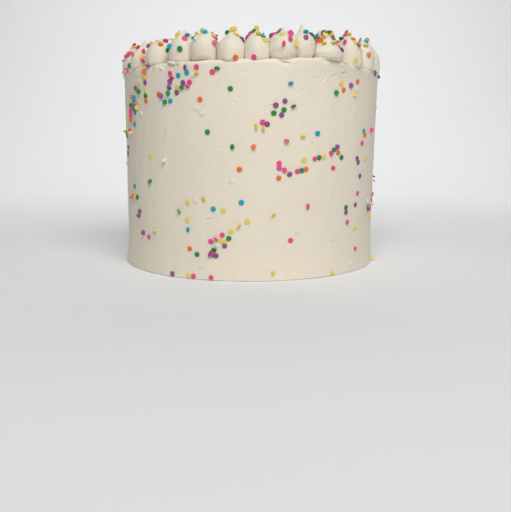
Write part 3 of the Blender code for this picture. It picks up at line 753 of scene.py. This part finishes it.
# sprinkles on the side, single or in trails: azimuth and height of the first, the colours in order by initial
# with a space for a gap, and how each lies where that is known: o flat, u d l r turned up, down, left or
# right, capitals for on edge, and / \ on edge along that line; then for a trail the way that it runs, 0 right
# and 90 up, and the distance between two, in degrees and millimetres
sideTrails = (
    (-47, 155, "YOYV YGO", " rdo ooo", 272, 3.45),
    (-44.5, 156.4, "V", "d"),
    (-55, 142, "VOG", "oor", 330, 3.6),
    (-60, 135.5, "OYGPPPO", "oorrrrr", 262, 2.9),
    (-56.5, 134.5, "BBPGB", "rrdro", 272, 2.7),
    (-53, 131, "YY", "or", 250, 4.0),
    (-69, 123, "Y", ""),
    (-63, 110, "OW", "", 330, 3.6),
    (-75, 111, "YGG", "Uoo", 325, 4.6),
    (-68, 97, "VGYY", " ood", 242, 5.1),
    (-32, 149, "PP", "oD", 300, 3.2),
    (-32, 143, "VVG", "rdr", 256, 4.2),
    (-38, 135, "OV", "or", 330, 3.0),
    (-35, 129, "GB", "ro", 8, 5.4),
    (-28, 147, "BB", "oo", 10, 7.5),
    (-25, 152, "V", "l"),
    (-22, 146.5, "W", "o"),
    (-20, 152, "PY", "oD", 270, 4.2),
    (-14, 148, "PG", "oD", 37, 4.6),
    (-26, 142, "VP", "oo", 0, 5.4),
    (-24, 139, "PGY", "Dro", 182, 4.6),
    (-29, 135, "V", "o"),
    (-19, 130, "O G", "o o", 16.5, 11.9),
    (-20.3, 124.7, "WW", "oo", 320, 6.2),
    (-52, 146, "W", "o"),
    (-51, 122, "W", "o"),
    (-57, 115, "B", "o"),
    (-5.3, 157, "OP", "oo", 1, 12.8),
    (13.3, 129, "VV", "oo", 204, 7.2),
    (16.5, 125.5, "GG", "Do", 199, 7.8),
    (9, 120, "GV", "oo", 350, 5.6),
    (5, 114, "PV", "oo", 335, 2.8),
    (2.5, 111, "YY", "LL", 345, 4.6),
    (27, 107, "BYP", "odU", 193, 12.8),
    (1.4, 97.4, "OG", "ul", 180, 14.6),
    (-16, 107, "G", "o"),
    (36.2, 97.3, "VGP", "", 222, 3.6),
    (37.2, 93, "OG", "oo", 315, 5.4),
    (30.3, 90.2, "YGP Y", "ooo o", 189, 4.4),
    (11.2, 86, "PP", "", 272, 3.6),
    (13.4, 81, "PV", "", 320, 5.0),
    (18.4, 80, "PGO", "ooo", 8, 3.6),
    (35, 82, "P", "o"),
    (11, 75, "O", "o"),
    (-4, 81, "OW", "oo", 235, 9.8),
    (15.3, 140.4, "B", "D"),
    (38.9, 144, "YO", "oo", 295, 5.9),
    (36.1, 136, "G", "l"),
    (49, 146, "O V", "o l", 205, 4.4),
    (47.1, 136, "YW", "lo", 45, 6.0),
    (65.5, 155, "VG", "", 20, 3.2),
    (80.8, 155.4, "V", "L"),
    (84, 132, "G", ""),
    (55, 110, "BO", "oo", 300, 3.6),
    (62.8, 111, "P P", "L o", 212, 10.0),
    (49.8, 89, "VV", "oo", 300, 3.6),
    (57, 88, "Y", "o"),
    (52.8, 75, "V", "o"),
    (84, 73, "VP  B", "UU", 262, 4.0),
    (-44, 90, "Y", "o"),
    (-36, 87, "W", "u"),
    (-45, 71, "G", "u"),
    (-59, 66, "B", "o"),
    (-63, 57.8, "POYG", "", 2, 4.3),
    (-54, 47, "VV", "", 262, 4.2),
    (-51, 30, "VP", "ro", 345, 7.8),
    (-42, 34, "Y", "U"),
    (-29, 50, "G", "\\"),
    (-25, 57, "YWY", "ool", 12, 6.6),
    (-14, 53, "BY", "oo", 352, 7.6),
    (-3, 58, "B", "o"),
    (-25, 44, "YB", "ol", 270, 6.8),
    (-1, 44, "YYY", "o/o", 212, 6.6),
    (-10.5, 34, "PPP", "o\\o", 210, 5.2),
    (-11.4, 29.5, "YY", "oo", 350, 3.2),
    (-8, 32, "GV", "oo", 238, 6.6),
    (-12.6, 26.4, "W", "o"),
    (-14, 23, "GV", "d", 240, 3.4),
    (-15.8, 20, "VPVV", "  oo", 345, 1.8),
    (-24, 23, "OG", "oo", 325, 6.8),
    (-19, 10, "W", "o"),
    (-32, 2.4, "V  YP  P", "o  oo  o", 0, 4.6),
    (9, 49, "Y", "/"),
    (23, 54, "P", "r"),
    (43, 52, "GV P", "oo o", 280, 4.2),
    (50, 53, "VP", "oo", 75, 9.2),
    (50, 34, "Y", "o"),
    (16, 30, "P", "o"),
    (50.8, 18, "P", "o"),
    (9, 6, "Y Y", "r o", 354, 24.7),
    (19, 36, "W W", "o o", 347, 16.5),
    (46.5, 7, "W", "o"),
    (76.5, 2.3, "Y", "L"),
    (72.8, 58, "PPY", "", 250, 4.0),
    (63, 54, "WBV", "  l", 285, 3.6),
    (66, 43, "YP", "lo", 35, 8.5),
)

# the same on the dollops
crownTrails = (
    (-67.4, 161.3, "GP", "", 238, 4.4),
    (-69.6, 169, "PP", "", 30, 2.6),
    (-73, 176.5, "YY", "", 0, 4.6),
    (-73.6, 179.2, "YP", "", 0, 2.0),
    (-56, 166.6, "O", ""),
    (-55.6, 171.6, "P", ""),
    (-52.3, 168.3, "PYP", "lo\\", 272, 3.5),
    (-44.9, 170, "VYY", "", 75, 1.8),
    (-39.8, 174.2, "WP", " U", 320, 2.0),
    (-38.7, 170.1, "O", ""),
    (-32, 167, "BG", "rr", 225, 3.2),
    (-32.4, 172, "Y", "U"),
    (-29.8, 176.6, "YY", "dd", 285, 2.2),
    (-27.4, 165.1, "G", ""),
    (-26.1, 171.9, "PB", "oU", 84, 2.6),
    (-21.9, 172.1, "BY", "", 40, 2.8),
    (-20.4, 171.6, "W", ""),
    (-19.4, 176.6, "YB", "d", 335, 3.3),
    (-14.7, 172.4, "YP", "", 284, 4.5),
    (-12.4, 174, "O", ""),
    (-8.7, 174.8, "GY", "", 40, 4.0),
    (-6.6, 177.4, "Y", ""),
    (-5.4, 174.2, "YYV", "  l", 318, 2.5),
    (-3, 170, "VV", "r", 30, 4.2),
    (0.3, 174.8, "PGY", "r", 33, 2.6),
    (3.1, 172.9, "YB", "U", 350, 3.3),
    (5.3, 169.3, "YY", "", 13, 2.7),
    (8, 174.4, "VP", " r", 45, 3.2),
    (11.6, 175.4, "GP", "", 55, 2.2),
    (12.3, 173.7, "Y", ""),
    (12.4, 165.8, "P", "R"),
    (16.6, 175.5, "PP", "", 215, 3.4),
    (14.5, 170.3, "P", "r"),
    (16.9, 167.1, "Y", "l"),
    (22.2, 175.8, "BV", "Uo", 246, 4.0),
    (24.6, 174.6, "VG", " l", 330, 3.2),
    (28.6, 175.6, "B", ""),
    (30.7, 177.4, "V", "d"),
    (29.3, 172.6, "OO", "dd", 300, 0.9),
    (28.4, 171, "P", "r"),
    (30.7, 176.2, "Y", ""),
    (30.2, 169.5, "Y", "U"),
    (32.3, 177.8, "GYP", "U", 308, 1.9),
    (34.5, 173.3, "B", ""),
    (33.4, 170.9, "YO", " U", 10, 4.0),
    (38.9, 172.5, "O", ""),
    (44.8, 181.8, "PP", "", 60, 1.8),
    (46.4, 179.6, "Y", "U"),
    (43.2, 173.1, "PP", "l", 212, 5.2),
    (37.4, 166, "V", "r"),
    (46.2, 176, "OY", "", 285, 2.4),
    (45.9, 160.8, "Y", "o"),
    (47.2, 171.7, "V", ""),
    (59, 183, "B", ""),
    (58, 180, "O", "l"),
    (58.1, 174.4, "YW", "U", 220, 4.4),
    (61.7, 178.4, "B", "l"),
    (57.8, 167.3, "O", "l"),
    (76.5, 185.5, "O", ""),
    (69, 178.5, "P", "l"),
    (42.5, 178.5, "G", ""),
)

# the sprinkles that the front hides: angles in degrees, heights and distances in millimetres, and places on a
# dollop as shares of its width
hidden = {
    "colours": "PPPPOOOYYYYGGGBBVVVW",
    "azimuth": (92, 268),
    "trails": 12,
    "trailLength": (2, 6),
    "trailHeight": (10, 150),
    "trailBias": 1.4,  # over 1, so more trails start high up
    "headings": (200, 230, 265, 275, 300, 340),
    "spacing": (3.8, 8.5),
    "onBackDollop": 2,
    "onFrontDollop": 1,
    "inward": (0.05, 0.36),
    "aside": 0.34,
    "onTop": 9,
    "topShare": (0.25, 0.98),  # of the way from the middle to the dollops' inner sides
    "fromRing": 16,
    "moreOnBackDollop": 8,  # thrown afterwards, also at the dollops' inner sides
    "moreOnFrontDollop": 4,
    "moreInward": (0.12, 0.46),
    "moreBias": 0.05,  # where most land on a back one
    "moreAside": 0.46,
    "moreOnTop": 24,
    "moreTopBias": (0.8, 1.6),  # how far in they reach, and over 1 so more land further out
    "drifts": 24,  # loose groups on the side
    "drift": (2, 8),
    "driftHeight": (10, 148),
    "driftBias": 0.75,  # under 1, so more groups lie high up
    "driftSpread": (3.2, 7.0),
    "driftLimits": (2.3, 153),
    "seeds": (21, 33, 5),  # of the colours, of the ones thrown afterwards and of the sizes
}


# every sprinkle of the trails, each a little off its line
def trailPlaces(trails, draws):
    waver = sprinkle["waver"]
    for azimuth, height, colours, turns, *run in trails:
        heading, spacing = run or (0, 0)
        for step, (colour, turned) in enumerate(zip(colours, turns.ljust(len(colours)))):
            along = step * spacing / 1000
            across = along * math.cos(math.radians(heading)) + draws.uniform(-waver, waver)
            up = along * math.sin(math.radians(heading)) + draws.uniform(-waver, waver)
            if colour != " ":
                yield azimuth + math.degrees(across / icedCake["radius"]), height / 1000 + up, colour, turned


# more trails in the same form, for the back
def backTrails(draws):
    low, high = hidden["trailHeight"]
    for _ in range(hidden["trails"]):
        azimuth = draws.uniform(*hidden["azimuth"])
        height = high - (high - low) * draws.random() ** hidden["trailBias"]
        heading = draws.choice(hidden["headings"])
        count = draws.randint(*hidden["trailLength"])
        colours = "".join(draws.choice(hidden["colours"]) for _ in range(count))
        yield azimuth, height, colours, "", heading, draws.uniform(*hidden["spacing"])


# how far a sprinkle is turned over, to which side, and how far round on itself, in radians
def lieOf(flatness, draws, turned=" "):
    steep = math.radians(sprinkle["steepest"]) * draws.random() ** flatness
    facing, turn = draws.uniform(0, math.tau), draws.uniform(0, math.tau)
    if turned in lies:
        (over, side), (overSlack, sideSlack) = lies[turned], sprinkle["slack"]
        steep = math.radians(over) + overSlack * steep
        facing = math.radians(side) + sideSlack * (facing - math.pi)
    return steep, facing, turn


# a throw down on a dollop, so far inward and aside as shares of its width
def onDollop(azimuth, width, inward, aside, lie, colour):
    aside = math.degrees(aside * width / dollopRing["radius"])
    return "down", azimuth + aside, dollopRing["radius"] - inward * width, lie, colour


# every sprinkle as it is thrown: its way, level from outside or down from above, its azimuth, the height of a
# level throw or the radius of one from above, how it lies, and its colour
def throws():
    paintSeed, moreSeed, _ = hidden["seeds"]
    draws, paint = random.Random(dollopRing["seed"] + 1), random.Random(paintSeed)
    side, crown = sprinkle["flatnessOnTheSide"], sprinkle["flatnessOnTheCrown"]
    colours = hidden["colours"]
    lowest = sprinkle["lowest"] * sprinkle["radius"]
    for trails, flatness in ((sideTrails, side), (crownTrails, crown), (list(backTrails(draws)), side)):
        for azimuth, height, colour, turned in trailPlaces(trails, draws):
            yield "level", azimuth, max(height, lowest), lieOf(flatness, draws, turned), colour
    near, far = hidden["inward"]
    beside = hidden["aside"]
    for number, (azimuth, width, *_) in enumerate(layout):
        front = number < len(frontDollops)
        for _ in range(hidden["onFrontDollop" if front else "onBackDollop"]):
            inward = draws.uniform(near if front else -far, far)
            aside = draws.uniform(-beside, beside)
            yield onDollop(azimuth, width, inward, aside, lieOf(crown, draws), paint.choice(colours))
    inner = dollopRing["radius"] - hidden["fromRing"] / 1000
    for _ in range(hidden["onTop"]):
        radius = draws.uniform(*hidden["topShare"]) * inner
        yield "down", draws.uniform(0, 360), radius, lieOf(side, draws), paint.choice(colours)
    more = random.Random(moreSeed)
    near, far = hidden["moreInward"]
    beside, bias = hidden["moreAside"], hidden["moreBias"]
    for number, (azimuth, width, *_) in enumerate(layout):
        front = number < len(frontDollops)
        for _ in range(hidden["moreOnFrontDollop" if front else "moreOnBackDollop"]):
            inward = more.uniform(near, far) if front else more.triangular(-far, far, bias)
            aside = more.uniform(-beside, beside)
            yield onDollop(azimuth, width, inward, aside, lieOf(crown, more), paint.choice(colours))
    furthest, bias = hidden["moreTopBias"]
    for _ in range(hidden["moreOnTop"]):
        radius = inner * (1 - furthest * more.random() ** bias)
        yield "down", more.uniform(0, 360), radius, lieOf(side, more), paint.choice(colours)
    low, high = hidden["driftHeight"]
    lower, upper = hidden["driftLimits"]
    aside, up = hidden["driftSpread"]
    for _ in range(hidden["drifts"]):
        middle = more.uniform(*hidden["azimuth"])
        level = low + (high - low) * more.random() ** hidden["driftBias"]
        for _ in range(more.randint(*hidden["drift"])):
            azimuth, height = more.gauss(middle, aside), min(max(more.gauss(level, up), lower), upper)
            yield "level", azimuth, height / 1000, lieOf(side, more), paint.choice(colours)


# one disc with a softened edge
def modelDisc():
    disc = startPiece(
        "disc", bpy.ops.mesh.primitive_cylinder_add, vertices=sprinkle["sides"], radius=sprinkle["radius"],
        depth=sprinkle["thickness"],
    )
    bpy.ops.object.mode_set(mode="EDIT")
    pick(disc, "EDGE", lambda edge: abs(edge.verts[0].co.z - edge.verts[1].co.z) < 1e-6)
    bpy.ops.mesh.bevel(offset=sprinkle["edge"], segments=1)
    bpy.ops.object.mode_set(mode="OBJECT")
    return disc


# where a throw meets the icing, and the way that the icing faces there: one between two peaks clings to the
# nearer
def landing(trees, way, azimuth, distance):
    start, aim = around(azimuth, 2 * icedCake["radius"], distance), around(azimuth, -1, 0)
    if way == "down":
        start, aim = around(azimuth, distance, 2 * icedCake["height"]), Vector((0, 0, -1))
    hits = []
    for index, tree in enumerate(trees):
        point, normal, _, away = tree.ray_cast(start, aim)
        if point is not None:
            hits.append((away, index, point, normal))
    if way == "level" and (not hits or min(hits)[0] > 2 * icedCake["radius"] - sprinkle["reach"]):
        hits.clear()
        for index, tree in enumerate(trees):
            point, normal, _, away = tree.find_nearest(around(azimuth, dollopRing["radius"], distance))
            hits.append((away, index, point, normal))
    return min(hits)[2:]


# the place of a sprinkle that lies so at that point of the icing
def sprinkleMatrix(point, normal, lie):
    steep, facing, turn = lie
    raised = sprinkle["raise"] + sprinkle["onEdge"] * sprinkle["radius"] * math.sin(steep)
    flat = normal.to_track_quat("Z", "Y").to_matrix().to_4x4()
    tip = Matrix.Rotation(facing, 4, "Z") @ Matrix.Rotation(steep, 4, "X") @ Matrix.Rotation(turn, 4, "Z")
    return Matrix.Translation(point + normal * raised) @ flat @ tip


# throws all the sprinkles and joins those of one colour into one piece
def scatterSprinkles():
    trees = []
    for piece in [cake, *kisses]:
        shape = bmesh.new()
        shape.from_mesh(piece.data)
        trees.append(BVHTree.FromBMesh(shape))
        shape.free()
    disc = modelDisc()
    heaps = {initial: bmesh.new() for initial in sprinkleColours}
    counts = dict.fromkeys(sprinkleColours, 0)
    jitter = random.Random(hidden["seeds"][-1])
    for way, azimuth, distance, lie, colour in throws():
        size = 1 + jitter.uniform(*sprinkle["sizes"])
        narrow = size * (1 - jitter.uniform(0, sprinkle["oval"]))
        point, normal = landing(trees, way, azimuth, distance)
        one = disc.data.copy()
        one.transform(sprinkleMatrix(point, normal, lie) @ Matrix.Diagonal((size, narrow, 1, 1)))
        heaps[colour].from_mesh(one)
        bpy.data.meshes.remove(one)
        counts[colour] += 1
    bpy.data.objects.remove(disc, do_unlink=True)
    for initial, (name, tint) in sprinkleColours.items():
        mesh = bpy.data.meshes.new(name + "Sprinkles")
        heaps[initial].to_mesh(mesh)
        heaps[initial].free()
        scattered = bpy.data.objects.new(name + "Sprinkles", mesh)
        bpy.context.scene.collection.objects.link(scattered)
        selectOnly(scattered)
        bpy.ops.object.shade_smooth_by_angle(angle=math.radians(30))
        mesh.materials.append(mixSugar(name, tint))
        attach(scattered, "root")
    return counts


print("sprinkles thrown:", scatterSprinkles())


studio = {
    "sweep": (0.86, 0.865, 0.87),
    "fleck": 0.985,  # the paper's darker fibres against that
    "floor": (3.6, 3.5),  # across and deep
    "wall": 1.7,  # how far behind the cake the sweep turns up
    "wallHeight": 2.6,
    "bend": 0.9,
    "sky": 0.02,
    "seen": 0.72,  # how bright the room beyond the sweep looks
    "middle": 0.09,  # the height that the lamps are set out from
}

# azimuth, distance, elevation, size and power of each lamp, and the point that it aims at
lamps = {
    "key": (8, 2.2, 46, (2.0, 1.1), 44.0, (0, 0, studio["middle"])),
    "wallWash": (180, 1.1, 62, (2.4, 0.5), 8.6, (0, studio["wall"], 0.55)),
    "floorWash": (180, 1.2, 50, (2.4, 0.5), 3.6, (0, 0.8, 0)),
}


# the floor sweeps up into the backdrop in one piece
def modelSweep():
    across, deep = studio["floor"]

    def atWall(edge):
        return min(vertex.co.y for vertex in edge.verts) > studio["wall"] - 0.01

    def atWallFoot(edge):
        return atWall(edge) and max(vertex.co.z for vertex in edge.verts) < 0.01

    sweep = startPiece("sweep", bpy.ops.mesh.primitive_plane_add, size=1, location=(0, 0, 0))
    bpy.ops.object.mode_set(mode="EDIT")
    bpy.ops.mesh.select_all(action="SELECT")
    bpy.ops.transform.resize(value=(across, deep, 1), center_override=(0, 0, 0))
    bpy.ops.transform.translate(value=(0, studio["wall"] - deep / 2, 0))
    pick(sweep, "EDGE", atWall)
    bpy.ops.mesh.extrude_region_move(TRANSFORM_OT_translate={"value": (0, 0, studio["wallHeight"])})
    pick(sweep, "EDGE", atWallFoot)
    bpy.ops.mesh.bevel(offset=studio["bend"], segments=24)
    bpy.ops.object.mode_set(mode="OBJECT")
    bpy.ops.object.shade_smooth()
    paper = Finish("sweep paper", Roughness=0.9)
    fibres = paper.noise(0.05, 3, 0.6)
    darker = tuple(studio["fleck"] * part for part in studio["sweep"])
    paper.feed("Base Color", paper.blend(fibres, darker, studio["sweep"]))
    sweep.data.materials.append(paper.material)


# an area lamp that the camera doesn't see
def addLight(name, azimuth, distance, elevation, size, power, aimAt):
    up = math.radians(elevation)
    place = around(azimuth, distance * math.cos(up), distance * math.sin(up) + studio["middle"])
    bpy.ops.object.light_add(type="AREA", location=place)
    lamp = bpy.context.active_object
    lamp.name = name
    lamp.data.shape = "RECTANGLE"
    lamp.data.size, lamp.data.size_y = size
    lamp.data.energy = power
    lamp.rotation_euler = (Vector(aimAt) - place).to_track_quat("-Z", "Y").to_euler()
    lamp.visible_camera = False


def lightStudio():
    world = bpy.data.worlds.new("room")
    world.use_nodes = True
    room = world.node_tree.nodes
    room["Background"].inputs["Color"].default_value = (1, 1, 1, 1)
    shown = room.new("ShaderNodeMath")  # a dim room that still looks pale beyond the sweep
    shown.operation = "MULTIPLY_ADD"
    shown.inputs[1].default_value, shown.inputs[2].default_value = studio["seen"], studio["sky"]
    world.node_tree.links.new(room.new("ShaderNodeLightPath").outputs["Is Camera Ray"], shown.inputs[0])
    world.node_tree.links.new(shown.outputs[0], room["Background"].inputs["Strength"])
    bpy.context.scene.world = world
    for name, lamp in lamps.items():
        addLight(name, *lamp)
    bpy.context.scene.view_settings.view_transform = "Standard"
    bpy.context.scene.view_settings.look = "None"


modelSweep()
lightStudio()
print("studio lit")
